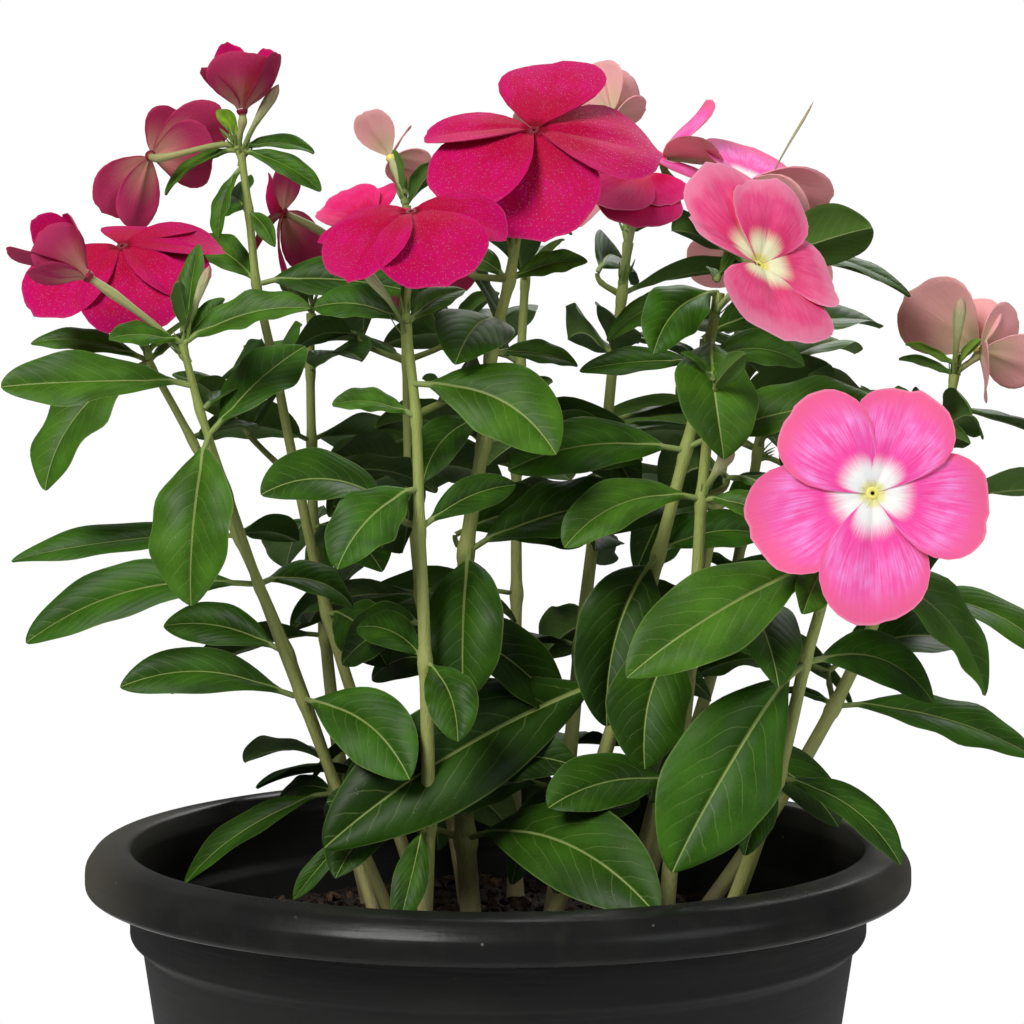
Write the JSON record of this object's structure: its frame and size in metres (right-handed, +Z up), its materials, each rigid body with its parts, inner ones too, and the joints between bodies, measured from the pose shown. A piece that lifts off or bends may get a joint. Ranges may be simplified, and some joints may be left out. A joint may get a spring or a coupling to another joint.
{
  "type": "potted madagascar periwinkle",
  "caption": "Bushy flowering plant of many leafy stems with flat five-petalled blooms, standing in a round tapered nursery pot.",
  "frame": {"origin": "middle of the pot's flat underside, on the surface that the pot stands on", "axes": "+Z up along the pot's axis, -Y towards the front of the plant, +X to the right seen from the front"},
  "size_m": [0.262, 0.2217, 0.3453],
  "materials": {
    "black_plastic": "satin black, moulded",
    "potting_mix": "dark, damp and crumbly",
    "stem": "smooth, light green, browner low down",
    "foliage": "glossy leaves, velvety blooms"
  },
  "bodies": {
    "root": {"pot": "black_plastic", "soil": "potting_mix", "stem_front_left": "stem", "stem_left": "stem", "stem_back_left": "stem", "stem_centre_left": "stem", "stem_centre": "stem", "stem_back_centre": "stem", "stem_right_centre": "stem", "stem_right_inner": "stem", "stem_right_front": "stem", "stem_far_right": "stem", "stem_right_back": "stem", "stem_centre_back": "stem", "stem_rear": "stem", "stem_rear_left": "stem", "stem_rear_right": "stem", "shoot_front_left": "foliage", "shoot_left": "foliage", "shoot_back_left": "foliage", "shoot_centre_left": "foliage", "shoot_centre": "foliage", "shoot_back_centre": "foliage", "shoot_right_centre": "foliage", "shoot_right_inner": "foliage", "shoot_right_front": "foliage", "shoot_far_right": "foliage", "shoot_right_back": "foliage", "shoot_centre_back": "foliage", "shoot_rear": "foliage", "shoot_rear_left": "foliage", "shoot_rear_right": "foliage"}
  },
  "joints": []
}
